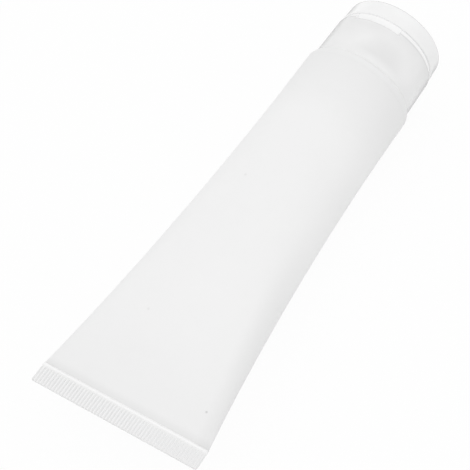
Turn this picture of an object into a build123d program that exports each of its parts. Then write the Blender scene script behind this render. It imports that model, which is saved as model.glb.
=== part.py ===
from build123d import *
import os
from math import cos, pi, radians, sin, sqrt

# Refillable travel tube, lying as it comes to rest. A soft sleeve is pressed flat and crimped at
# its tail, a moulded head is welded into its round end, and a clear cap with a flip lid on a film
# hinge goes over the neck.
# Millimetres: Y runs from the tail to the cap, X across the crimped tail and Z up. The origin is
# on the surface that the tube lies on, below the middle of its length.
# A station is a distance along the tube from the end of the tail.

# Sleeve
sleeve_radius = 15.0
sleeve_wall = 0.5
weld_station = 106.7
flare_power = 1.97
throat_height = 1.24
section_count = 7
least_flat = 0.02

# Crimped tail
seal_height = 5.1
bead_height = 0.6
bead_thickness = 1.5
band_thickness = 0.8
rib_count = 41
rib_root_width = 0.9
rib_crest_width = 0.4
rib_rise = 0.25

# Head
shoulder_radius = 2.4
shoulder_rise = 1.2
shoulder_wall = 1.3
spigot_length = 2.5
spigot_wall = 1.1
weld_clearance = 0.05
neck_radius = 7.6
neck_wall = 1.8
neck_chamfer = 0.5

# Cap base
skirt_inset = 0.85
skirt_gap = 0.27
skirt_taper = 0.27
base_height = 13.7
skirt_wall = 1.25
deck_thickness = 1.6
rim_bevel_height = 1.25
rim_bevel_depth = 0.85
neck_gap = 0.3
thread_room = 1.25
thread_sleeve_wall = 1.2
thread_sleeve_gap = 1.0
snap_clearance = 0.3
snap_ring_wall = 1.0
snap_ring_height = 1.7
spout_root_radius = 3.4
spout_tip_radius = 2.8
spout_height = 2.3
orifice_radius = 1.75

# Thumb recess in the cap base
recess_half_angle = 27.5
recess_depth_middle = 1.25
recess_depth_ends = 1.0
recess_height = 2.0
recess_wall = 1.1

# Lid
parting_gap = 0.15
lid_height = 5.5
lid_inset = 0.23
lid_taper = 0.25
lid_wall = 1.25
lid_top_wall = 1.3
lid_edge_radius = 1.2
pin_clearance = 0.3
pin_reach = 1.2
pin_chamfer = 0.4

# Film hinge
lug_stand_off = 0.07
lug_width = 9.0
lug_depth = 1.35
lug_height = 2.6
film_width = 8.0
film_thickness = 0.3
film_bend_radius = 0.5

# Stations and sizes that follow from these
flat_width = pi * sleeve_radius
neck_bore_radius = neck_radius - neck_wall
shoulder_station = weld_station + shoulder_radius
shoulder_edge = sleeve_radius - shoulder_radius
skirt_radius = sleeve_radius - skirt_inset
rim_radius = skirt_radius - skirt_taper
lid_rim_radius = rim_radius - lid_inset
lid_top_radius = lid_rim_radius - lid_taper


def skirt_edge_station(radius):
    """Where the skirt's lower edge clears the head's rounded shoulder at a radius."""
    rounded_depth = sqrt(shoulder_radius**2 - (radius - shoulder_edge) ** 2)
    return weld_station + rounded_depth + skirt_gap


skirt_station = skirt_edge_station(skirt_radius)
parting_station = skirt_station + base_height
deck_station = parting_station - deck_thickness
lid_rim_station = parting_station + parting_gap
overall_length = parting_station + lid_height
neck_root_station = shoulder_station + shoulder_rise
neck_end_station = deck_station - neck_gap
thread_sleeve_radius = neck_radius + thread_room
spout_tip_station = parting_station + spout_height
lug_face = rim_radius + lug_stand_off
hinge_station = parting_station + parting_gap / 2
tail_y = -overall_length / 2

# The axial plane has the station along its x and the radius along its y.
axial_plane = Plane(origin=(0, tail_y, sleeve_radius), x_dir=(0, 1, 0), z_dir=(1, 0, 0))
tube_axis = Axis((0, 0, sleeve_radius), (0, 1, 0))


def cross_plane(station):
    """The plane across the tube at a station: x across, y up, normal towards the tail."""
    return Plane(origin=(0, tail_y + station, sleeve_radius), x_dir=(1, 0, 0), z_dir=(0, -1, 0))


def sleeve_half_sizes(share):
    """Half-width and half-height of the sleeve at a share of the way from the crimp to the weld:
    as the width falls from half the girth to the diameter, the height grows from the throat to
    the diameter."""
    flattening = (1 - share) ** flare_power
    half_width = sleeve_radius + (flat_width / 2 - sleeve_radius) * flattening
    half_height = sleeve_radius + (throat_height / 2 - sleeve_radius) * flattening
    return half_width, half_height


# The sleeve's sections stand closer together at the crimp, where its form changes fastest.
section_shares = [(step / (section_count - 1)) ** 1.5 for step in range(section_count)]

# Sleeve: one extruded wall, round at the head and crimped flat between ribbed jaws at the tail.
# Pressing it flat keeps its girth, so each section is two half rounds joined by two flats.
with BuildPart() as tube_sleeve:
    for inset, mode in ((0, Mode.ADD), (sleeve_wall, Mode.SUBTRACT)):
        for share in section_shares:
            half_width, half_height = sleeve_half_sizes(share)
            flat = max(2 * (half_width - half_height), least_flat)
            with BuildSketch(cross_plane(seal_height + share * (weld_station - seal_height))):
                SlotCenterToCenter(flat, 2 * (half_height - inset))
        loft(ruled=True, mode=mode)
    with BuildSketch(cross_plane(seal_height)):
        Rectangle(flat_width, bead_thickness)
    extrude(amount=bead_height)
    with BuildSketch(cross_plane(seal_height - bead_height)):
        Rectangle(flat_width, band_thickness)
        root, crest = rib_root_width / 2, rib_crest_width / 2
        low, high = band_thickness / 2, band_thickness / 2 + rib_rise
        with GridLocations(flat_width / rib_count, 1, rib_count, 1):
            Polygon(
                (-crest, high),
                (-root, low),
                (-root, -low),
                (-crest, -high),
                (crest, -high),
                (root, -low),
                (root, low),
                (crest, high),
                align=None,
            )
    extrude(amount=seal_height - bead_height)

# Head: a turned form with a spigot inside the sleeve, a rounded shoulder and an open neck
with BuildPart() as tube_head:
    spigot_radius = sleeve_radius - sleeve_wall - weld_clearance
    spigot_bore = spigot_radius - spigot_wall
    with BuildSketch(axial_plane):
        with BuildLine():
            Polyline(
                (shoulder_station, shoulder_edge),
                (neck_root_station, neck_radius),
                (neck_end_station, neck_radius),
                (neck_end_station, neck_bore_radius),
                (neck_root_station - shoulder_wall, neck_bore_radius),
                (shoulder_station - shoulder_wall, spigot_bore),
                (weld_station - spigot_length, spigot_bore),
                (weld_station - spigot_length, spigot_radius),
                (weld_station, spigot_radius),
                (weld_station, sleeve_radius),
            )
            RadiusArc((weld_station, sleeve_radius), (shoulder_station, shoulder_edge), shoulder_radius)
        make_face()
    revolve(axis=tube_axis)
    neck_mouth = tube_head.faces().sort_by(Axis.Y)[-1]
    chamfer(neck_mouth.edges(), length=neck_chamfer)

# Cap base: an outer skirt, an inner sleeve for the thread, and a deck with a spout and a snap
# ring. Its rim is bevelled, so that a groove runs round under the lid.
with BuildPart() as cap_base:
    ring_radius = lid_rim_radius - lid_wall - snap_clearance
    thread_sleeve_end = neck_root_station + thread_sleeve_gap
    thread_sleeve_outside = thread_sleeve_radius + thread_sleeve_wall
    with BuildSketch(axial_plane):
        with BuildLine():
            Polyline(
                (skirt_station, skirt_radius),
                (parting_station - rim_bevel_height, rim_radius),
                (parting_station, rim_radius - rim_bevel_depth),
                (parting_station, ring_radius),
                (parting_station + snap_ring_height, ring_radius),
                (parting_station + snap_ring_height, ring_radius - snap_ring_wall),
                (parting_station, ring_radius - snap_ring_wall),
                (parting_station, spout_root_radius),
                (spout_tip_station, spout_tip_radius),
                (spout_tip_station, orifice_radius),
                (deck_station, orifice_radius),
                (deck_station, thread_sleeve_radius),
                (thread_sleeve_end, thread_sleeve_radius),
                (thread_sleeve_end, thread_sleeve_outside),
                (deck_station, thread_sleeve_outside),
                (deck_station, skirt_radius - skirt_wall),
                (skirt_edge_station(skirt_radius - skirt_wall), skirt_radius - skirt_wall),
                close=True,
            )
        make_face()
    revolve(axis=tube_axis)
    # The wall behind the thumb recess, so that the recess stays closed to the inside
    side = radians(recess_half_angle)
    back_middle = rim_radius - recess_depth_middle
    back_end = rim_radius - recess_depth_ends
    with BuildSketch(cross_plane(deck_station)):
        with BuildLine():
            pad_side = radians(recess_half_angle) + recess_wall / rim_radius
            pad_inside = back_middle - recess_wall
            pad_outside = rim_radius - skirt_wall / 2
            pad_left = (-pad_inside * sin(pad_side), pad_inside * cos(pad_side))
            pad_right = (pad_inside * sin(pad_side), pad_inside * cos(pad_side))
            rim_left = (-pad_outside * sin(pad_side), pad_outside * cos(pad_side))
            rim_right = (pad_outside * sin(pad_side), pad_outside * cos(pad_side))
            ThreePointArc(pad_left, (0, pad_inside), pad_right)
            Line(pad_right, rim_right)
            ThreePointArc(rim_right, (0, pad_outside), rim_left)
            Line(rim_left, pad_left)
        make_face()
    extrude(amount=recess_height - deck_thickness + recess_wall)
    # The thumb recess itself: straight sides, a slightly bowed back and a flat floor
    with BuildSketch(cross_plane(parting_station)):
        with BuildLine():
            clear_radius = skirt_radius + recess_depth_middle
            back_left = (-back_end * sin(side), back_end * cos(side))
            back_right = (back_end * sin(side), back_end * cos(side))
            open_left = (-clear_radius * sin(side), clear_radius * cos(side))
            open_right = (clear_radius * sin(side), clear_radius * cos(side))
            ThreePointArc(back_left, (0, back_middle), back_right)
            Line(back_right, open_right)
            ThreePointArc(open_right, (0, clear_radius), open_left)
            Line(open_left, back_left)
        make_face()
    extrude(amount=recess_height, mode=Mode.SUBTRACT)
    # The flat lug under the film hinge, deep enough to fill the bevel behind it
    with BuildSketch(cross_plane(parting_station)):
        with Locations((0, -lug_face)):
            base_lug_depth = lug_depth + rim_bevel_depth / 2
            Rectangle(lug_width, base_lug_depth, align=(Align.CENTER, Align.MIN))
    extrude(amount=lug_height)

# Lid: a shallow cup with a pin that stops the spout, and its own lug
with BuildPart() as cap_lid:
    lid_ceiling = overall_length - lid_top_wall
    pin_radius = orifice_radius - pin_clearance
    pin_station = spout_tip_station - pin_reach
    with BuildSketch(axial_plane):
        with BuildLine():
            RadiusArc(
                (overall_length - lid_edge_radius, lid_top_radius),
                (overall_length, lid_top_radius - lid_edge_radius),
                lid_edge_radius,
            )
            Polyline(
                (overall_length, lid_top_radius - lid_edge_radius),
                (overall_length, 0),
                (pin_station, 0),
                (pin_station, pin_radius - pin_chamfer),
                (pin_station + pin_chamfer, pin_radius),
                (lid_ceiling, pin_radius),
                (lid_ceiling, lid_top_radius - lid_wall),
                (lid_rim_station, lid_rim_radius - lid_wall),
                (lid_rim_station, lid_rim_radius),
                (overall_length - lid_edge_radius, lid_top_radius),
            )
        make_face()
    revolve(axis=tube_axis)
    with BuildSketch(cross_plane(lid_rim_station)):
        with Locations((0, -lug_face)):
            Rectangle(lug_width, lug_depth, align=(Align.CENTER, Align.MIN))
    extrude(amount=-lug_height)

# Film hinge: a thin web folded into a half ring between the two lugs while the lid is shut
with BuildPart() as living_hinge:
    fold_outside = film_bend_radius + film_thickness / 2
    with BuildSketch(axial_plane):
        with Locations((hinge_station, -lug_face)):
            Circle(fold_outside)
            Circle(film_bend_radius - film_thickness / 2, mode=Mode.SUBTRACT)
            Rectangle(
                2 * fold_outside,
                fold_outside,
                align=(Align.CENTER, Align.MIN),
                mode=Mode.SUBTRACT,
            )
    extrude(amount=film_width / 2, both=True)

tube_sleeve.part.label = "tube_sleeve"
tube_head.part.label = "tube_head"
cap_base.part.label = "cap_base"
cap_lid.part.label = "cap_lid"
living_hinge.part.label = "living_hinge"

os.makedirs("parts", exist_ok=True)
export_step(tube_sleeve.part, "parts/tube_sleeve.step")
export_step(tube_head.part, "parts/tube_head.step")
export_step(cap_base.part, "parts/cap_base.step")
export_step(cap_lid.part, "parts/cap_lid.step")
export_step(living_hinge.part, "parts/living_hinge.step")
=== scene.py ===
# %% [markdown]
# # A refillable travel tube
# This lesson dresses a packed CAD part in Blender. The part is a soft, frosted squeeze tube: a sleeve
# that is crimped flat at its tail, a moulded head welded into its round end, and a clear screw cap with
# a flip lid. The solids are the fixed frame, so their sizes and places are read from them.

# %% Load the packed frame
import math

import bmesh
import bpy
import numpy as np
from mathutils import Matrix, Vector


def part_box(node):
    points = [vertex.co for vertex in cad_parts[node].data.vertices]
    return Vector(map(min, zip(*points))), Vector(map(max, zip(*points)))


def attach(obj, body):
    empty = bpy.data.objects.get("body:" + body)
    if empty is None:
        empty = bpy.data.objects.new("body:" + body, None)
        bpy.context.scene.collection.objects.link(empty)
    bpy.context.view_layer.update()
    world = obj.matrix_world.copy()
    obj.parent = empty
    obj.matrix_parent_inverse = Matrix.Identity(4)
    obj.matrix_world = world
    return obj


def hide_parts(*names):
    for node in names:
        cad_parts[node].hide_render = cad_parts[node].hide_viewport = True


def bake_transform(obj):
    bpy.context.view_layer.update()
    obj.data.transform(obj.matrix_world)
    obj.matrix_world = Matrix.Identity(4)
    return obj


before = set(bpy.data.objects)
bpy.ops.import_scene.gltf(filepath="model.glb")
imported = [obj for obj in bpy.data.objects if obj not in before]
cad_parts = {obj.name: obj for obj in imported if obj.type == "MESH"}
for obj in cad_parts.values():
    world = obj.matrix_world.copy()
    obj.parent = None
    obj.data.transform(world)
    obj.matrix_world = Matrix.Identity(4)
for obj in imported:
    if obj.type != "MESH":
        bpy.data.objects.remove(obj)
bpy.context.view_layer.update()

# %% [markdown]
# ## Measures
# A tube is easiest to describe by stations: distances along its axis from the end of the tail. The big
# sizes come from the boxes of the solids, so the pieces follow the frame if it is packed again. The
# small ones, such as wall thicknesses, are named where they are first needed, in millimetres.

# %% Axis, stations and radii
MM = 0.001
sleeve_low, sleeve_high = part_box("tube_sleeve")
_, head_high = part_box("tube_head")
base_low, base_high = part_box("cap_base")
lid_low, lid_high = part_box("cap_lid")

tail_y = sleeve_low.y
axis_z = (sleeve_low.z + sleeve_high.z) / 2
sleeve_radius = (sleeve_high.z - sleeve_low.z) / 2
flat_half_width = (sleeve_high.x - sleeve_low.x) / 2
weld_station = sleeve_high.y - tail_y
neck_end_station = head_high.y - tail_y
skirt_station = base_low.y - tail_y
lid_rim_station = lid_low.y - tail_y
overall_length = lid_high.y - tail_y
parting_gap = 0.15 * MM
parting_station = lid_rim_station - parting_gap
skirt_radius = (base_high.x - base_low.x) / 2
lid_rim_radius = (lid_high.x - lid_low.x) / 2
print(f"sleeve radius {sleeve_radius / MM:.2f} mm, length {overall_length / MM:.2f} mm")

# %% [markdown]
# ## From arrays to pieces
# Every piece here is a grid of points worked out by numpy in one go. Three small helpers turn such
# grids into a mesh: one places tube coordinates in the frame, one lists the corners of a grid's faces,
# and one merges the doubled points at seams and poles, turns the faces outwards and shades the result
# smoothly. A fourth gives the soft step that several formulas need.

# %% Helpers for grids
MERGE_DISTANCE = 1e-7
SLIVER_LENGTH = 1e-8
SHARP_ANGLE = math.radians(40)


def place(station, across, up):
    """Points in the frame: the station runs along Y from the tail, across is X, and up is Z above the
    axis."""
    station, across, up = np.broadcast_arrays(station, across, up)
    return np.stack([across, tail_y + station, axis_z + up], axis=-1)


def grid_faces(rows, columns, close_rows=False, close_columns=False):
    """Each face joins a grid point to the next ones along its row and column; a closed direction wraps
    round."""
    row = np.arange(rows if close_rows else rows - 1)[:, None]
    column = np.arange(columns if close_columns else columns - 1)[None, :]
    next_row, next_column = (row + 1) % rows, (column + 1) % columns
    corners = [row * columns + column, row * columns + next_column]
    corners += [next_row * columns + next_column, next_row * columns + column]
    return np.stack(np.broadcast_arrays(*corners), axis=-1).reshape(-1, 4)


def make_piece(name, *shells):
    """One mesh object from several shells, each a pair of a point grid and its faces."""
    points, faces, first = [], [], 0
    for grid, corners in shells:
        points.append(grid.reshape(-1, 3))
        faces.append(corners + first)
        first += len(points[-1])
    mesh = bpy.data.meshes.new(name)
    mesh.from_pydata(np.concatenate(points).tolist(), [], np.concatenate(faces).tolist())
    tidy = bmesh.new()
    tidy.from_mesh(mesh)
    bmesh.ops.remove_doubles(tidy, verts=tidy.verts, dist=MERGE_DISTANCE)
    bmesh.ops.dissolve_degenerate(tidy, edges=tidy.edges, dist=SLIVER_LENGTH)
    bmesh.ops.recalc_face_normals(tidy, faces=tidy.faces)
    tidy.to_mesh(mesh)
    tidy.free()
    mesh.polygons.foreach_set("use_smooth", np.ones(len(mesh.polygons), bool))
    mesh.set_sharp_from_angle(angle=SHARP_ANGLE)
    piece = bpy.data.objects.new(name, mesh)
    bpy.context.scene.collection.objects.link(piece)
    print(name, len(mesh.vertices), "points", len(mesh.polygons), "faces")
    return piece


def smooth_step(value, low, high):
    """Rises from 0 at low to 1 at high along a cubic that is level at both ends."""
    share = np.clip((value - low) / (high - low), 0, 1)
    return share * share * (3 - 2 * share)


print("an open grid of 3 by 4 points has", len(grid_faces(3, 4)), "faces")

# %% [markdown]
# ## The sleeve's form
# The sleeve is cut from extruded polyethylene pipe, so its girth is the same all along. At the head it
# is round; at the tail hot jaws press it flat, to half the girth. In between, each section is two half
# rounds joined by two flats that melt into them. One formula gives them all: the half rounds are a
# circle's cosine and sine, and the flats are opened by a second cosine that is squashed towards a step,
# so there is no seam between round and flat. A loft through drawn sections would do too, but it needs
# many of them where the form changes fastest. Here the rows of points only have to stand closer
# together there.

# %% Sections from the tail to the head
seal_height = 5.1 * MM
throat_height = 1.24 * MM
sleeve_wall = 0.5 * MM
flare_power = 1.97
flat_softness = 2.0
pinch_depth = 0.1 * MM
pinch_reach = 0.9 * MM
around_count = 224
outer_rows, inner_rows = 150, 50
row_crowding = 1.6


def sleeve_surface(share, around, inset):
    """Share runs from the crimp to the weld and around is the angle from +X. Flattening falls as a
    power of the share left to the weld; it widens the section from the radius to half the flat width
    and lowers it from the radius to the throat. Next to the crimp the wall is pinched in by a depth
    that dies away exponentially."""
    station = seal_height + share * (weld_station - seal_height)
    flattening = (1 - share) ** flare_power
    half_width = sleeve_radius + (flat_half_width - sleeve_radius) * flattening
    half_height = sleeve_radius + (throat_height / 2 - sleeve_radius) * flattening
    half_height = half_height - pinch_depth * np.exp(-(station - seal_height) / pinch_reach)
    opened = np.tanh(flat_softness * np.cos(around)) / math.tanh(flat_softness)
    across = (half_width - half_height) * opened + (half_height - inset) * np.cos(around)
    return place(station, across, (half_height - inset) * np.sin(around))


around = np.linspace(0, 2 * math.pi, around_count, endpoint=False)[None, :]
outer_share = (np.linspace(0, 1, outer_rows) ** row_crowding)[:, None]
inner_share = (np.linspace(1, 0, inner_rows) ** row_crowding)[:, None]
sleeve_grid = np.concatenate(
    [sleeve_surface(outer_share, around, 0), sleeve_surface(inner_share, around, sleeve_wall)]
)
sleeve_shell = (sleeve_grid, grid_faces(*sleeve_grid.shape[:2], close_rows=True, close_columns=True))
print("sleeve grid", sleeve_grid.shape)

# %% [markdown]
# ## The crimped band
# The jaws leave a band of fine ribs that run along the tube to its very end, and a smooth bead where
# the band meets the soft wall. A bump map would flatten out at the edge, where the ribs are seen end
# on, so they are real. The band is a thin profile in the length and height directions, carried across
# the tail. Its height is a base, a bead, and a row of ribs that follows a plain cosine.

# %% Ribs, bead and the band's closed surface
rib_count = 54
points_per_rib = 8
rib_pitch = 2 * flat_half_width / rib_count
rib_rise = 0.25 * MM
rib_fade_start, rib_fade_end = 3.75 * MM, 4.3 * MM
band_half = 0.4 * MM
bead_rise = 0.35 * MM
bead_middle = 4.75 * MM
bead_reach = 0.36 * MM
band_end = 5.3 * MM
edge_round = 0.25 * MM
cut_share = 0.7


def quarter_round(share):
    """Height of a quarter circle from 0 at its foot to 1 at its top."""
    return np.sqrt(np.clip(1 - (1 - share) ** 2, 0, 1))


def band_height(across, station):
    """Half-thickness of the band: base, plus a cosine of ribs that fades out below the bead, plus a
    bead that falls off with the fourth power of the distance, so that its top is nearly flat. All of it
    is rounded off at the two sides and, down to a share of the thickness, at the cut end."""
    wave = 0.5 + 0.5 * np.cos(2 * math.pi * across / rib_pitch)
    ribs = rib_rise * wave * (1 - smooth_step(station, rib_fade_start, rib_fade_end))
    bead = bead_rise * np.exp(-(((station - bead_middle) / bead_reach) ** 4))
    to_side = np.clip((flat_half_width - np.abs(across)) / edge_round, 0, 1)
    to_cut = np.clip(station / edge_round, 0, 1)
    cut_round = cut_share + (1 - cut_share) * quarter_round(to_cut)
    return (band_half + ribs + bead) * quarter_round(to_side) * cut_round


edge_steps = np.array([0, 0.02, 0.06, 0.13, 0.21]) * MM
rib_stations = np.linspace(0.3, 3.5, 7) * MM
bead_stations = np.linspace(3.7, 5.25, 32) * MM
rib_limit = flat_half_width - edge_round
left_end, right_end = edge_steps - flat_half_width, flat_half_width - edge_steps[::-1]
rib_line = np.linspace(-rib_limit, rib_limit, rib_count * points_per_rib)
across_line = np.concatenate([left_end, rib_line, right_end])
top_stations = np.concatenate([edge_steps, rib_stations, bead_stations, [band_end]])
top_height = band_height(across_line[:, None], top_stations[None, :])
loop_station = np.concatenate([top_stations, top_stations[::-1]])
loop_height = np.concatenate([top_height, -top_height[:, ::-1]], axis=1)
band_grid = place(loop_station[None, :], across_line[:, None], loop_height)
band_shell = (band_grid, grid_faces(*band_grid.shape[:2], close_columns=True))
sleeve = make_piece("frosted_sleeve", sleeve_shell, band_shell)
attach(sleeve, "tube")
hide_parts("tube_sleeve")

# %% [markdown]
# ## Turned pieces
# The head, the cap and the lid come from moulds that are mostly turned, so their surfaces are an
# outline of stations and radii carried round the axis. Real mouldings have no sharp corners, and a
# rounded corner is what catches the light, so each corner of the outline becomes a circular arc. A pair
# of points just outside each arc keeps the shading of the flat faces flat. A corner is written as its
# station, its radius and its rounding, in millimetres.

# %% Helpers for turned forms
ARC_STEPS = 6
LONGEST_REACH = 0.42
SUPPORT_REACH = 1.15
LEAST_SIDE = 1e-9
LEAST_TANGENT = 1e-6


def outline_of(corners, angle):
    """The corner points at every angle, and the roundings. A station or a radius may vary with the
    angle."""
    points = [
        np.stack(np.broadcast_arrays(station, radius, angle)[:2], axis=-1)
        for station, radius, rounding in corners
    ]
    roundings = [rounding for station, radius, rounding in corners]
    return np.stack(points) * MM, np.array(roundings) * MM


def rounded(corners, roundings, closed=True):
    """Rounds each corner of an outline. Corners are an array of corner, angle and (station, radius).
    Each arc is a rational parabola: weights 1, the sine of half the corner's angle, and 1 on its first
    end, the corner and its last end, which makes it a true circle. Its ends lie on the two sides, and a
    short side limits how far."""
    before, after = np.roll(corners, 1, axis=0), np.roll(corners, -1, axis=0)
    to_before, to_after = before - corners, after - corners
    long_before = np.maximum(np.linalg.norm(to_before, axis=-1, keepdims=True), LEAST_SIDE)
    long_after = np.maximum(np.linalg.norm(to_after, axis=-1, keepdims=True), LEAST_SIDE)
    way_before, way_after = to_before / long_before, to_after / long_after
    inner_cosine = np.clip((way_before * way_after).sum(-1, keepdims=True), -1, 1)
    half_angle = np.arccos(inner_cosine) / 2
    reach = roundings[:, None, None] / np.maximum(np.tan(half_angle), LEAST_TANGENT)
    reach = np.minimum(reach, LONGEST_REACH * np.minimum(long_before, long_after))
    weight = np.sin(half_angle)
    share = np.linspace(0, 1, ARC_STEPS)[:, None, None, None]
    first, last = corners + way_before * reach, corners + way_after * reach
    over = (1 - share) ** 2 * first + 2 * share * (1 - share) * weight * corners + share**2 * last
    arc = over / ((1 - share) ** 2 + 2 * share * (1 - share) * weight + share**2)
    support = [corners + way * reach * SUPPORT_REACH for way in (way_before, way_after)]
    points = np.concatenate([support[0][None], arc, support[1][None]])
    points = np.swapaxes(points, 0, 1).reshape(-1, *corners.shape[1:])
    if closed:
        return points
    per_corner = ARC_STEPS + 2
    middle = points[per_corner:-per_corner]
    return np.concatenate([corners[:1], middle, corners[-1:]])


def turned(outline, angle, closed=True):
    """Carries an outline round the axis: across is the radius times the angle's sine and up is the
    radius times its cosine, so angle 0 is straight up."""
    station, radius = outline[..., 0], outline[..., 1]
    grid = place(station, radius * np.sin(angle), radius * np.cos(angle))
    return grid, grid_faces(*grid.shape[:2], close_rows=closed, close_columns=True)


even_count = 192
even_angle = np.linspace(0, 2 * math.pi, even_count, endpoint=False)
print("points at each corner", ARC_STEPS + 2)

# %% [markdown]
# ## The head
# The head is moulded in milky polyethylene: a spigot inside the sleeve, a rounded shoulder, and a neck
# with a thread. The shoulder's edge is what the eye sees between the sleeve and the cap. A revolved
# outline is all that it takes, as for a piece made on a lathe.

# %% Head outline
shoulder_radius, shoulder_rise, shoulder_wall = 2.4, 1.2, 1.3
neck_radius, neck_bore = 7.6, 5.8
spigot_length, spigot_wall, weld_clearance = 2.5, 1.1, 0.05
body_radius = sleeve_radius / MM
shoulder_edge = body_radius - shoulder_radius
weld = weld_station / MM
shoulder = weld + shoulder_radius
neck_root = shoulder + shoulder_rise
neck_end = neck_end_station / MM
spigot_end = weld - spigot_length
spigot_radius = body_radius - sleeve_wall / MM - weld_clearance
spigot_bore = spigot_radius - spigot_wall
# The rounded shoulder ends a little further in than its arc, so that the next corner has a side to lie on.
shoulder_slack, shoulder_run = 0.01, 0.4
head_corners = [
    (weld, body_radius, 0.02),
    (shoulder, body_radius, shoulder_radius),
    (shoulder + shoulder_slack, shoulder_edge - shoulder_run, 0.5),
    (neck_root, neck_radius, 0.8),
    (neck_end, neck_radius, 0.5),
    (neck_end, neck_bore, 0.5),
    (neck_root - shoulder_wall, neck_bore, 0.5),
    (shoulder - shoulder_wall, spigot_bore, 0.6),
    (spigot_end, spigot_bore, 0.2),
    (spigot_end, spigot_radius, 0.2),
    (weld, spigot_radius, 0.02),
]
head_shell = turned(rounded(*outline_of(head_corners, even_angle)), even_angle)
print("neck from", round(neck_root, 2), "to", round(neck_end, 2), "mm")

# %% [markdown]
# ## The thread
# The thread is a ridge that climbs round the neck, so it is a small profile carried along a helix. It
# swells from nothing and dies away again, as a moulded thread does. A helix can't be turned on a lathe,
# and it is too fine for the solid model, so it is added here. The cap's own thread comes from the same
# function.

# %% Thread of the neck
STEPS_PER_TURN = 96
PROFILE_POINTS = 14
SWELL_SHARE = 0.125
thread_pitch = 3.2


def helix_ridge(start, turns, root, rise, half_width):
    """A ridge on a helix: along it the station grows by the pitch each turn. Its profile is an ellipse
    about the root radius, so that half of it is sunk in the wall, and it swells and fades along the
    first and last eighth."""
    along = np.linspace(0, 1, int(turns * STEPS_PER_TURN))[:, None]
    profile = np.linspace(0, 2 * math.pi, PROFILE_POINTS, endpoint=False)[None, :]
    swell = quarter_round(np.clip(np.minimum(along, 1 - along) / SWELL_SHARE, 0, 1))
    turn = 2 * math.pi * turns * along
    station = (start + thread_pitch * turns * along + half_width * swell * np.cos(profile)) * MM
    radius = (root + rise * swell * np.sin(profile)) * MM
    grid = place(station, radius * np.sin(turn), radius * np.cos(turn))
    return grid, grid_faces(*grid.shape[:2], close_columns=True)


neck_thread = helix_ridge(start=neck_root + 2.2, turns=1.9, root=neck_radius, rise=0.58, half_width=0.75)
head = make_piece("milky_head", head_shell, neck_thread)
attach(head, "tube")
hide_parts("tube_head")

# %% [markdown]
# ## The cap base
# The cap base is clear polypropylene. From the rim inwards it has a deck with a snap ring and a spout,
# a threaded inner sleeve that grips the neck, and an outer skirt. At the top a thumb recess is cut
# under the lid, and opposite it a flat lug carries the hinge. Both are changes of the outline with the
# angle, so one turned surface makes the whole moulding: near the recess the rim's radius is less, and
# at the lug it follows a flat. Cutting a recess out of a finished mesh would leave ragged edges that
# can't be rounded.

# %% Angles where the recess and the lug begin
recess_half_angle = math.radians(27.5)
recess_depth_ends, recess_bow = 1.0, 0.25
lug_half_width, lug_face = 4.5, 13.95
lug_half_angle = math.asin(lug_half_width / math.hypot(lug_half_width, lug_face))
step_width = math.radians(0.9)


def angles_with_steps(edges):
    """Even angles, with a few more close to each edge so that a step there is crisp."""
    near = np.array([-1, -0.5, 0, 0.5, 1]) * step_width / 2
    extra = (np.array(edges)[:, None] + near).ravel()
    return np.unique(np.round(np.concatenate([even_angle, extra % (2 * math.pi)]), 7))


def inside(angle, middle, half_angle):
    """1 within a half-angle of the middle and 0 outside, with a short ramp."""
    away = np.abs((angle - middle + math.pi) % (2 * math.pi) - math.pi)
    return 1 - smooth_step(away, half_angle - step_width / 2, half_angle + step_width / 2)


def flat_radius(face, angle):
    """Radius of a flat below the axis: its distance over the cosine from straight down, which is kept
    to a half or more where the flat doesn't reach."""
    return face / np.maximum(-np.cos(angle), 0.5)


lug_edges = [math.pi - lug_half_angle, math.pi + lug_half_angle]
cap_angle = angles_with_steps([recess_half_angle, -recess_half_angle] + lug_edges)
in_recess = inside(cap_angle, 0, recess_half_angle)
in_lug = inside(cap_angle, math.pi, lug_half_angle)
from_top = (cap_angle + math.pi) % (2 * math.pi) - math.pi
recess_depth = recess_depth_ends + recess_bow * np.clip(1 - (from_top / recess_half_angle) ** 2, 0, 1)
print("cap angles", len(cap_angle))

# %% [markdown]
# ## Walls of the cap base
# The sizes that change with the angle are worked out first, each as a row with one value for every
# angle. The rim is bevelled, apart from the recess and the lug. The back of the recess leans out to the
# lid's rim, so that the lid hardly overhangs it and no dark slit shows there. Behind the recess and the
# lug the wall is thickened, as a moulder would do to keep it closed.

# %% Radii and stations that vary with the angle
skirt_taper, skirt_wall, skirt_gap = 0.27, 1.25, 0.27
rim_bevel_height, rim_bevel_depth, least_bevel = 1.25, 0.52, 0.1
recess_height, recess_top_depth, recess_wall = 2.0, 0.35, 1.1
recess_pad_depth, recess_pad_height = 1.37, 1.5
lug_height, lug_depth, lug_pad_height = 2.6, 1.775, 1.0
parting = parting_station / MM
skirt = skirt_station / MM
base_radius = skirt_radius / MM
rim_radius = base_radius - skirt_taper
bevel_start = parting - rim_bevel_height
unbevelled = np.maximum(in_recess, in_lug)
bevel_height = rim_bevel_height + (least_bevel - rim_bevel_height) * unbevelled
bevel_depth = rim_bevel_depth + (least_bevel - rim_bevel_depth) * unbevelled
ledge = parting - recess_height - (lug_height - recess_height) * in_lug
lug_out = (flat_radius(lug_face, cap_angle) - rim_radius) * in_lug
wall_at_ledge = rim_radius + skirt_taper * (bevel_start - ledge) / (bevel_start - skirt)
wall_above_ledge = wall_at_ledge - recess_depth * in_recess + lug_out
wall_at_rim = rim_radius - recess_top_depth * in_recess + lug_out
skirt_inside = base_radius - skirt_wall
skirt_inside_edge = weld + math.sqrt(shoulder_radius**2 - (skirt_inside - shoulder_edge) ** 2) + skirt_gap
in_pad = inside(cap_angle, 0, recess_half_angle + recess_wall / rim_radius)
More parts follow.
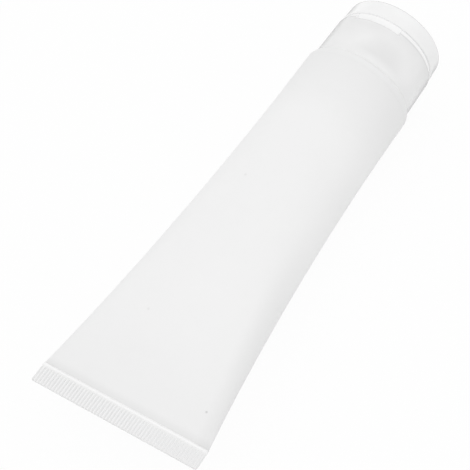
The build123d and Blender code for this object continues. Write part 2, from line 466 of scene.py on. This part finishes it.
lug_back = np.maximum(skirt_inside - flat_radius(lug_face - lug_depth, cap_angle), 0)
pad_inside = skirt_inside - recess_pad_depth * in_pad - lug_back * in_lug
print("rim radius", round(rim_radius, 2), "mm, least wall radius", round(wall_above_ledge.min(), 2), "mm")

# %% [markdown]
# ## Outline of the cap base
# The outline runs from the foot of the skirt up to the rim, over the snap ring and down into the spout,
# and back along the inside of the deck, the threaded sleeve and the skirt. The land beside the ring
# stands just short of the lid's rim, which closes the parting line to a hair. A corner that should look
# like a step has a short slope, so that the two sides of the step don't share a point.

# %% Cap base outline, angle by angle
deck_thickness, land_rise, step_slope = 1.6, 0.12, 0.06
lid_wall, snap_clearance = 1.25, 0.3
ring_height, ring_wall = 1.7, 1.0
spout_root_radius, spout_tip_radius, orifice_radius = 3.4, 2.8, 1.75
thread_room, thread_sleeve_wall, thread_sleeve_gap = 1.25, 1.2, 1.0
deck = parting - deck_thickness
land = parting + land_rise
ring_radius = lid_rim_radius / MM - lid_wall - snap_clearance
ring_top = parting + ring_height
spout_tip = base_high.y / MM - tail_y / MM
thread_sleeve = neck_radius + thread_room
thread_sleeve_end = neck_root + thread_sleeve_gap
pad_foot = deck - recess_pad_height + (recess_pad_height - lug_pad_height) * in_lug
base_corners = [
    (skirt, base_radius, 0.25),
    (ledge - step_slope, wall_at_ledge, 0.2),
    (ledge, wall_above_ledge, 0.25),
    (parting - bevel_height, wall_at_rim, 0.45),
    (land, wall_at_rim - bevel_depth, 0.12),
    (land, ring_radius, 0.03),
    (ring_top, ring_radius, 0.3),
    (ring_top, ring_radius - ring_wall, 0.3),
    (parting, ring_radius - ring_wall, 0.3),
    (parting, spout_root_radius, 0.5),
    (spout_tip, spout_tip_radius, 0.4),
    (spout_tip, orifice_radius, 0.3),
    (deck, orifice_radius, 0.3),
    (deck, thread_sleeve, 0.4),
    (thread_sleeve_end, thread_sleeve, 0.25),
    (thread_sleeve_end, thread_sleeve + thread_sleeve_wall, 0.25),
    (deck, thread_sleeve + thread_sleeve_wall, 0.5),
    (deck, pad_inside, 0.5),
    (pad_foot, pad_inside, 0.3),
    (pad_foot - step_slope, skirt_inside, 0.1),
    (skirt_inside_edge, skirt_inside, 0.25),
]
base_shell = turned(rounded(*outline_of(base_corners, cap_angle)), cap_angle)
cap_thread = helix_ridge(start=neck_root + 3.8, turns=1.6, root=thread_sleeve, rise=0.5, half_width=0.7)
cap_base = make_piece("clear_cap_base", base_shell, cap_thread)
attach(cap_base, "cap")
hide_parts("cap_base")

# %% [markdown]
# ## The lid
# The lid is a shallow cup with a flat top, a softly rounded edge and a pin in its middle that stops the
# spout. Its outline starts and ends on the axis, so the surface has two poles, and the helper merges
# their points. The rim stands in from the cap base by a hair, as it does in the photograph, and its lug
# has the same flat.

# %% Lid outline
lid_top_wall, lid_taper, lid_top_inset, lid_edge_round = 1.3, 0.25, 0.27, 1.2
pin_radius, pin_reach = 1.45, 1.2
lid_angle = angles_with_steps(lug_edges)
lid_lug = inside(lid_angle, math.pi, lug_half_angle)
lid_lug_radius = flat_radius(lug_face, lid_angle)
lid_rim, lid_top = lid_rim_station / MM, overall_length / MM
rim = lid_rim_radius / MM
lug_top = lid_rim + lug_height
rim_at_lug = rim - lid_taper * lug_height / (lid_top - lid_edge_round - lid_rim)
pin_tip = spout_tip - pin_reach
ceiling = lid_top - lid_top_wall
lid_corners = [
    (pin_tip, 0.0, 0.0),
    (pin_tip, pin_radius, 0.5),
    (ceiling, pin_radius, 0.4),
    (ceiling, rim - lid_taper - lid_wall, 0.7),
    (lid_rim, rim - lid_wall, 0.2),
    (lid_rim, rim + (lid_lug_radius - rim) * lid_lug, 0.3),
    (lug_top, rim_at_lug + (lid_lug_radius - rim_at_lug) * lid_lug, 0.2),
    (lug_top + step_slope, rim_at_lug, 0.1),
    (lid_top, rim - lid_top_inset, lid_edge_round),
    (lid_top, 0.0, 0.0),
]
lid_shell = turned(rounded(*outline_of(lid_corners, lid_angle), closed=False), lid_angle, closed=False)
lid = make_piece("clear_lid", lid_shell)
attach(lid, "lid")
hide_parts("cap_lid")

# %% [markdown]
# ## The film hinge
# Lid and base are joined by a web so thin that it can bend thousands of times. Shut, it is folded into
# a half ring under the cap. It is a half-ring profile carried across the cap.

# %% Film hinge
film_half_width = 4.0 * MM
film_half_thickness = 0.15 * MM
film_bend = 0.5 * MM
bend_count, film_columns, film_edge = 25, 21, 0.98
hinge_station = (parting_station + lid_rim_station) / 2
bend = np.linspace(0, math.pi, bend_count)
loop_bend = np.concatenate([bend, bend[::-1]])
loop_side = np.concatenate([np.ones(bend_count), -np.ones(bend_count)])
film_columns_across = np.linspace(-film_edge, film_edge, film_columns)
film_across = np.concatenate([[-1.0], film_columns_across, [1.0]]) * film_half_width
film_thick = film_half_thickness * np.where(np.abs(film_across) < film_half_width, 1.0, 0.0)
film_radius = film_bend + loop_side[None, :] * film_thick[:, None]
film_grid = place(
    hinge_station - film_radius * np.cos(loop_bend)[None, :],
    film_across[:, None],
    -lug_face * MM - film_radius * np.sin(loop_bend)[None, :],
)
film = make_piece("film_hinge", (film_grid, grid_faces(*film_grid.shape[:2], close_columns=True)))
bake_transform(film)
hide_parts("living_hinge")

# %% [markdown]
# ## Shader arithmetic
# A finish is a small calculation on coordinates and noise. Written as nodes it is hard to read, so a
# wire here is an object that can be added, multiplied and so on, and each operation adds its Math node.
# One method adds any other node from its type, its settings and the values or links of its sockets.

# %% A wire that can be calculated with
class Wire:
    """One output socket of a material's nodes."""

    def __init__(self, tree, socket):
        self.tree, self.socket = tree, socket

    @staticmethod
    def node(tree, kind, settings=None, sockets=None, output=0):
        """Adds a node: first its settings, then the values or links of its sockets. Gives a wire on one
        output."""
        made = tree.nodes.new(kind)
        for name, value in (settings or {}).items():
            setattr(made, name, value)
        for key, value in (sockets or {}).items():
            if isinstance(value, Wire):
                value.into(made, key)
            else:
                made.inputs[key].default_value = value
        return Wire(tree, made.outputs[output])

    def into(self, node, key):
        """Links the wire to a socket of a node."""
        self.tree.links.new(self.socket, node.inputs[key])

    def maths(self, operation, first, second=0.0):
        """Adds a Math node on one or two wires or numbers."""
        return Wire.node(self.tree, "ShaderNodeMath", {"operation": operation}, {0: first, 1: second})

    def __add__(self, other):
        return self.maths("ADD", self, other)

    __radd__ = __add__

    def __sub__(self, other):
        return self.maths("SUBTRACT", self, other)

    def __rsub__(self, other):
        return self.maths("SUBTRACT", other, self)

    def __mul__(self, other):
        return self.maths("MULTIPLY", self, other)

    __rmul__ = __mul__

    def __truediv__(self, other):
        return self.maths("DIVIDE", self, other)

    def __rtruediv__(self, other):
        return self.maths("DIVIDE", other, self)

    def below(self, limit):
        """1 where the value is less than a limit, else 0."""
        return self.maths("LESS_THAN", self, limit)

    def highest(self, other):
        return self.maths("MAXIMUM", self, other)

    def root(self):
        return self.maths("SQRT", self)

    def cosine(self):
        return self.maths("COSINE", self)

    def ramp(self, low, high):
        """Rises smoothly from 0 at low to 1 at high, or falls where high is the lesser."""
        sockets = {"Value": self, "From Min": low, "From Max": high}
        return Wire.node(self.tree, "ShaderNodeMapRange", {"interpolation_type": "SMOOTHSTEP"}, sockets)

    def away_from(self, point):
        """Distance of a position from a point."""
        settings = {"operation": "DISTANCE"}
        return Wire.node(self.tree, "ShaderNodeVectorMath", settings, {0: self, 1: point}, output="Value")

    def parts(self):
        """The three parts of a vector."""
        made = Wire.node(self.tree, "ShaderNodeSeparateXYZ", None, {0: self}).socket.node
        return [Wire(self.tree, output) for output in made.outputs]


print("a wire can", sorted(name for name in vars(Wire) if not name.startswith("_")))

# %% [markdown]
# ## Helpers for finishes
# Both plastics need cloudy noise, a colour between two others and a Principled shader. Values that vary
# are linked to the shader, and values that are the same everywhere are set on its own sockets.

# %% Noise, colours and materials
def noise(tree, position, scale, detail=3.0):
    """Cloudy noise around 0.5 on a position, at so many clouds a metre."""
    sockets = {"Vector": position, "Scale": scale, "Detail": detail, "Roughness": 0.55}
    return Wire.node(tree, "ShaderNodeTexNoise", {"noise_dimensions": "3D"}, sockets)


def pale(level):
    """An even grey or white, as a colour with full alpha."""
    return (level, level, level, 1)


def mix_colour(tree, factor, first, second):
    """A colour between two others."""
    settings = {"data_type": "RGBA", "blend_type": "MIX"}
    return Wire.node(tree, "ShaderNodeMix", settings, {0: factor, 6: first, 7: second}, output=2)


def new_finish(name):
    """A material with one Principled shader: gives the material, its nodes and that shader."""
    material = bpy.data.materials.new(name)
    material.use_nodes = True
    return material, material.node_tree, material.node_tree.nodes["Principled BSDF"]


def set_constants(shader, constants):
    """Sets values that are the same everywhere."""
    for name, value in constants.items():
        shader.inputs[name].default_value = value


def mix_shaders(tree, factor, shader, second):
    """Mixes the Principled shader with a second one and links the result to the material's surface."""
    first = Wire(tree, shader.outputs[0])
    mixed = Wire.node(tree, "ShaderNodeMixShader", None, {0: factor, 1: first, 2: second})
    mixed.into(tree.nodes["Material Output"], "Surface")


def dress(piece, material):
    """Gives a piece one material."""
    piece.data.materials.clear()
    piece.data.materials.append(material)


print("white is", pale(1.0))

# %% [markdown]
# ## The frosted sleeve's finish
# The sleeve is natural polyethylene with a satin skin. Light goes in, scatters and comes out nearby,
# which makes it milky, so the shader has some subsurface. Its colour drifts very slightly, its
# roughness is patchy where it has been handled, and a fine grain breaks the highlight. On the bead that
# the jaws left, the colour carries a painted highlight, and beside it painted shade. A few specks of dust
# that the photograph shows are small round spots at fixed places on the surface.

# %% Milky finish
MILKY_CONSTANTS = {
    "IOR": 1.5,
    "Specular IOR Level": 0.4,
    "Subsurface Weight": 0.12,
    "Subsurface Radius": (1.0, 1.0, 1.0),
    "Subsurface Scale": 0.0006,
}
GRAIN_STRENGTH, GRAIN_HEIGHT = 0.25, 0.00004
SLOW_CLOUDS, FINE_CLOUDS = 60.0, 5200.0
SATIN_ROUGHNESS, ROUGHNESS_DRIFT = 0.42, 0.12


def milky_finish(name, colour_low, colour_high, tone=None):
    """Milky polyethylene: colour and roughness from slow noise, and a bump from fine noise. A tone,
    worked out from the position, multiplies the colour."""
    material, tree, shader = new_finish(name)
    spot = Wire.node(tree, "ShaderNodeTexCoord", output="Object")
    slow = noise(tree, spot, SLOW_CLOUDS)
    fine = noise(tree, spot, FINE_CLOUDS, detail=2.0)
    colour = mix_colour(tree, slow, pale(colour_low), pale(colour_high))
    if tone:
        sockets = {0: colour, "Scale": tone(spot)}
        colour = Wire.node(tree, "ShaderNodeVectorMath", {"operation": "SCALE"}, sockets)
    sockets = {"Strength": GRAIN_STRENGTH, "Distance": GRAIN_HEIGHT, "Height": fine}
    Wire.node(tree, "ShaderNodeBump", None, sockets).into(shader, "Normal")
    (slow * ROUGHNESS_DRIFT + SATIN_ROUGHNESS).into(shader, "Roughness")
    colour.into(shader, "Base Color")
    set_constants(shader, MILKY_CONSTANTS)
    return material


milky = milky_finish("milky_head", colour_low=0.85, colour_high=0.88)
dress(head, milky)
print("finish", milky.name)

# %% [markdown]
# ## Tones of the sleeve
# The sleeve's colour is multiplied by a tone that follows the station and the place across. Each part
# of it is a soft plateau times a strength, so a strength of 0.05 makes the plastic five per cent
# lighter or darker there. The bead gets a painted highlight, and the crease, the right flank near the
# tail and the rib valleys get painted shade; the ribs get it as well as their real form.

# %% Frosted finish with its tones
# The bead's white is a painted highlight; the crease and flank greys are painted shade.
BEAD_HIGHLIGHT, CREASE_SHADE, TAIL_GREY, WELD_GREY, FLANK_SHADE = 0.07, 0.06, 0.025, 0.055, 0.055
# The ribs' contrast and the band's grey are painted shade between the ribs and over the band.
RIB_VALLEY_SHADE, BAND_SHADE = 0.055, 0.05
SPECK_CORE = 0.3
# Stations in millimetres where a tone starts, is full, begins to fade and ends
BEAD_SPAN = (4.25, 4.5, 5.05, 5.3)
CREASE_SPAN = (5.15, 5.35, 5.4, 7.5)
TAIL_SPAN = (4.3, 5.3, 6, 32)
FLANK_SPAN = (4.3, 5.3, 30, 72)
weld_start, weld_full = 84 * MM, 106 * MM
band_fade_end, band_fade_start = 4.3 * MM, 4.1 * MM
flank_reach, flank_core = 4.5 * MM, 0.5 * MM
rib_tone_end = 18 * MM
# Each speck has its place and its radius in millimetres, and how dark it is.
specks = [
    ((18.48, -51.54, 17.1), 0.42, 0.22),
    ((-7.14, -37.05, 20.94), 0.5, 0.07),
    ((-4.59, 2.57, 27.35), 0.5, 0.07),
]


def plateau(value, start, full, fading, end):
    """1 from full to fading and 0 outside start and end, in millimetres, with smooth slopes between."""
    return value.ramp(start * MM, full * MM) * value.ramp(end * MM, fading * MM)


def sleeve_tone(spot):
    """The bead gets a painted highlight and the crease beyond it painted shade. The tail and the welded
    end are a little greyer, and the right flank near the tail gets painted shade: the flank is where the
    section's half-width, which grows with the square of the share left to the weld, is nearly reached.
    The ribs follow their cosine, as painted shade in their valleys and over the band, and each speck is
    a soft dark spot."""
    across, along, _ = spot.parts()
    station = along - tail_y
    # Painted highlight on the bead, and painted shade in the crease beyond it.
    bead = plateau(station, *BEAD_SPAN)
    crease = plateau(station, *CREASE_SPAN)
    tail = plateau(station, *TAIL_SPAN)
    weld_end = station.ramp(weld_start, weld_full)
    left_to_weld = (weld_station - station) / (weld_station - seal_height)
    half_width = left_to_weld * left_to_weld * (flat_half_width - sleeve_radius) + sleeve_radius
    # Painted shade on the right flank near the tail.
    flank = (half_width - across).ramp(flank_reach, flank_core) * plateau(station, *FLANK_SPAN)
    # Painted shade between the ribs and over the whole band.
    band = station.ramp(band_fade_end, band_fade_start)
    rib_shade_share = across.ramp(rib_tone_end, 0.0)
    ribs = (across * (2 * math.pi / rib_pitch)).cosine() * rib_shade_share * RIB_VALLEY_SHADE - BAND_SHADE
    tone = 1.0 + bead * BEAD_HIGHLIGHT - crease * CREASE_SHADE - tail * TAIL_GREY
    tone = tone - weld_end * WELD_GREY - flank * FLANK_SHADE + band * ribs
    for point, radius, dark in specks:
        at = tuple(value * MM for value in point)
        tone = tone * (1.0 - spot.away_from(at).ramp(radius * MM, radius * MM * SPECK_CORE) * dark)
    return tone


frosted = milky_finish("frosted_sleeve", colour_low=0.9, colour_high=0.93, tone=sleeve_tone)
dress(sleeve, frosted)
print("finish", frosted.name, "with", len(specks), "specks")

# %% [markdown]
# ## The clear cap's finish
# Natural polypropylene is clear but hazy. A thick wall looks white, and what stands close behind a thin
# one shows as soft grey patches. So the shader is a pale, glossy plastic that lets a share of the light
# straight through, and a slow noise, which stands for the flow of the plastic in its mould, varies that
# share. The bevel under the lid and the thumb recess are polished parts of the mould and the plastic
# behind them is deep, so they are denser and glossier. The lid is a closed cup, where two walls lie
# behind each other, so it is denser than the base too. Where a wall is seen at a slant, some glass is
# mixed in, because there it shows its surroundings and looks darker.

# %% Clear cap finish
CLEAR_IOR = 1.49
FLOW_CLOUDS = 90.0
LEAST_ROUGHNESS = 0.3
# The last is the grey mixed in as painted shade along the cap's edges.
CLEAR_LOW, CLEAR_HIGH, EDGE_SHADE_COLOUR = 0.96, 0.985, 0.5
GLASS = {"Color": pale(0.97), "Roughness": 0.2, "IOR": CLEAR_IOR}
SLANT_START, SLANT_FULL, GLASS_SHARE = 0.66, 0.9, 0.42


def clear_finish(name, thinnest, varies, shares):
    """Hazy clear plastic: alpha is the thinnest share plus noise. Shares are worked out from the
    position, the station, the radius and the height above the axis: how polished and dense the plastic
    is, how much is taken off where the wall is thin, and how much painted shade greys it at an edge."""
    material, tree, shader = new_finish(name)
    spot = Wire.node(tree, "ShaderNodeTexCoord", output="Object")
    flow = noise(tree, spot, FLOW_CLOUDS, detail=1.5)
    across, along, up = spot.parts()
    height = up - axis_z
    radius = (across * across + height * height).root()
    polished, thin, edge_shade = shares(spot, along - tail_y, radius, height)
    dense = flow * varies + thinnest - thin
    colour = mix_colour(tree, flow, pale(CLEAR_LOW), pale(CLEAR_HIGH))
    # Painted shade: the colour turns towards a grey where the shares say so.
    mix_colour(tree, edge_shade, colour, pale(EDGE_SHADE_COLOUR)).into(shader, "Base Color")
    (flow * ROUGHNESS_DRIFT + LEAST_ROUGHNESS).into(shader, "Roughness")
    (dense + polished * (1.0 - dense)).into(shader, "Alpha")
    polished.into(shader, "Coat Weight")
    set_constants(shader, {"IOR": CLEAR_IOR})
    facing = Wire.node(tree, "ShaderNodeLayerWeight", None, {"Blend": 0.5}, output="Facing")
    glass = Wire.node(tree, "ShaderNodeBsdfGlass", None, GLASS)
    slant = facing.ramp(SLANT_START, SLANT_FULL) * GLASS_SHARE * (1.0 - polished)
    mix_shaders(tree, slant, shader, glass)
    return material


print("glass of index", CLEAR_IOR, "takes up to", GLASS_SHARE, "of a slanting wall")

# %% [markdown]
# ## Thin and polished places of the cap, and its painted shade
# The base and the lid have the same plastic but not the same places. The base has its bevel, its recess
# and a patch of thin skirt where the neck shows through, and a line of painted shade along the edge below
# the bevel. The lid only has a polished rim, and painted shade round the edge of its top. Each piece gets
# its own function for them, and the finish above does the rest.

# %% Cap base and lid
# The two greys are strengths of painted shade: a line below the bevel and a ring round the lid's top edge.
THIN_SHARE, BEVEL_EDGE_SHADE, LID_EDGE_SHADE = 0.12, 0.22, 0.45
polish_start, polish_radius = (parting - 2.05) * MM, (rim_radius - 0.06) * MM
thin_middle = (6.0 * MM, 47.2 * MM, 27.6 * MM)
thin_reach, thin_core = 8.5 * MM, 1.5 * MM
foot_end, foot_clear = skirt_station + 0.6 * MM, skirt_station + 3.5 * MM
bevel_edge, edge_drop = (parting - 1.45) * MM, 0.72 * MM
edge_reach, edge_core = 0.22 * MM, 0.06 * MM
recess_side_cosine, side_blur = math.cos(recess_half_angle), 0.004
lid_polish_end = lid_rim_station + 0.05 * MM
lid_side_start, lid_side_full = lid_rim_radius - 1.5 * MM, lid_rim_radius - 0.8 * MM
lid_edge_start, lid_edge_full = overall_length - 0.75 * MM, overall_length - 0.35 * MM


def base_shares(spot, station, radius, height):
    """Polished on the bevel and in the recess, nearer the rim than the ledge and inside the wall's
    radius; thin in a soft patch of the skirt, where the neck behind it shows; painted shade along the edge
    below the bevel, which steps down to the ledge inside the recess."""
    near_rim = 1.0 - station.below(polish_start)
    polished = near_rim * radius.below(polish_radius)
    off_foot = station.ramp(foot_end, foot_clear)
    thin = spot.away_from(thin_middle).ramp(thin_reach, thin_core) * off_foot * THIN_SHARE
    recessed = (height / radius).ramp(recess_side_cosine - side_blur, recess_side_cosine + side_blur)
    off_edge = station - bevel_edge + recessed * edge_drop
    # Painted shade: a thin grey line along the edge below the bevel.
    edge_shade = (off_edge * off_edge).root().ramp(edge_reach, edge_core) * BEVEL_EDGE_SHADE
    return polished, thin, edge_shade


def lid_shares(spot, station, radius, height):
    """Polished on the rim that rests on the base; nowhere thin; painted shade round the edge of its top.
    """
    polished = station.below(lid_polish_end)
    at_side = radius.ramp(lid_side_start, lid_side_full)
    at_top = station.ramp(lid_edge_start, lid_edge_full)
    # The third share is painted shade round the edge of the top.
    return polished, 0.0, at_top * at_side * LID_EDGE_SHADE


clear = clear_finish("clear_cap", thinnest=0.81, varies=0.12, shares=base_shares)
clear_lid = clear_finish("clear_lid", thinnest=0.9, varies=0.12, shares=lid_shares)
dress(cap_base, clear)
dress(lid, clear_lid)
dress(film, clear_lid)
print("cap finishes", clear.name, clear_lid.name)

# %% [markdown]
# ## Floor
# The photograph is a cut-out on white. The floor shows the camera, reflections and refractions a nearly
# white surface, keeps a faint shadow of the object, and bounces plain light for all other rays. A plain
# white floor would turn grey away from the lamp, and a floor that only glows would have no shadow, so
# it is a mix of the two.

# %% Floor that is seen as white
floor_size = 6.0
floor_glow = 0.95


def seen_rays(tree):
    """1 for a ray that shows the background itself: from the camera, a reflection or a refraction; else
    0."""
    kinds = ("Is Camera Ray", "Is Glossy Ray", "Is Transmission Ray")
    camera_ray, glossy_ray, clear_ray = [
        Wire.node(tree, "ShaderNodeLightPath", output=kind) for kind in kinds
    ]
    return camera_ray.highest(glossy_ray).highest(clear_ray)


floor_corners = np.array([[-1, -1, 0], [1, -1, 0], [1, 1, 0], [-1, 1, 0]]) * floor_size / 2
floor_mesh = bpy.data.meshes.new("floor")
floor_mesh.from_pydata(floor_corners.tolist(), [], [[0, 1, 2, 3]])
floor = bpy.data.objects.new("floor", floor_mesh)
bpy.context.scene.collection.objects.link(floor)
floor_finish, floor_tree, floor_shader = new_finish("pale_floor")
set_constants(floor_shader, {"Base Color": pale(0.9), "Roughness": 0.9, "Specular IOR Level": 0.0})
glow = Wire.node(floor_tree, "ShaderNodeEmission", None, {"Color": pale(1), "Strength": 1.0})
mix_shaders(floor_tree, seen_rays(floor_tree) * floor_glow, floor_shader, glow)
dress(floor, floor_finish)
print("floor", floor_size, "m wide")

# %% [markdown]
# ## Light
# The photograph's light is soft and comes from all round, with a little more from above. An even white
# sky gives most of it, and one wide, weak lamp overhead gives the tube's top its slight gloss and the
# floor its faint shadow. A strong lamp would draw dark edges that the photograph doesn't have.

# %% Sky and overhead lamp
ambient = 0.9
world = bpy.data.worlds.new("studio")
bpy.context.scene.world = world
world.use_nodes = True
backdrop = world.node_tree.nodes["Background"]
backdrop.inputs["Color"].default_value = pale(1.0)
sky = seen_rays(world.node_tree) * (1.0 - ambient) + ambient
sky.into(backdrop, "Strength")


def facing_matrix(right, up, place_at):
    """A camera or lamp at a place: its columns are right, up, backwards and the place."""
    turn = np.eye(4)
    turn[:3, 0], turn[:3, 1] = right, up
    turn[:3, 2], turn[:3, 3] = np.cross(right, up), place_at
    return Matrix(turn.tolist())


def unit(vector):
    """The vector with length 1."""
    return vector / np.linalg.norm(vector)


def soft_light(name, place_at, target, size, watts):
    """A square area light that faces a target."""
    lamp = bpy.data.lights.new(name, "AREA")
    lamp.shape, lamp.size, lamp.energy = "SQUARE", size, watts
    holder = bpy.data.objects.new(name, lamp)
    way = unit(np.array(target) - np.array(place_at))
    side = unit(np.cross(way, (0.0, 1.0, 0.0)))
    holder.matrix_world = facing_matrix(side, np.cross(side, way), place_at)
    bpy.context.scene.collection.objects.link(holder)
    return holder


lamp = soft_light("overhead", place_at=(0.0, 0.05, 0.8), target=(0.0, 0.0, 0.015), size=0.9, watts=0.62)
print("lamp", lamp.name, "at", tuple(round(value, 3) for value in lamp.location))

# %% [markdown]
# ## Camera
# The camera was fitted to the outline of the tube in the photograph: its place, two of its directions
# and its focal length were changed until the outlines lay on each other. The focal length is in pixels
# of a 470 pixel picture, so it is turned into millimetres of a 36 mm sensor.

# %% Camera as fitted
camera_place = np.array([0.1611, -0.1699, 0.3522])
camera_right = unit(np.array([0.8267, 0.5449, -0.1401]))
camera_down = np.array([0.3937, -0.7381, -0.548])
focal_pixels, picture_pixels, sensor_mm = 1680.56, 470.0, 36.0
camera_up = unit(-(camera_down - camera_right * (camera_down @ camera_right)))
camera_data = bpy.data.cameras.new("camera")
camera_data.sensor_width = sensor_mm
camera_data.lens = focal_pixels / picture_pixels * sensor_mm
camera_data.clip_start = 0.01
camera = bpy.data.objects.new("camera", camera_data)
camera.matrix_world = facing_matrix(camera_right, camera_up, camera_place)
bpy.context.scene.collection.objects.link(camera)
bpy.context.scene.camera = camera
bpy.context.scene.view_settings.view_transform = "Standard"
print("camera lens", round(camera_data.lens, 2), "mm")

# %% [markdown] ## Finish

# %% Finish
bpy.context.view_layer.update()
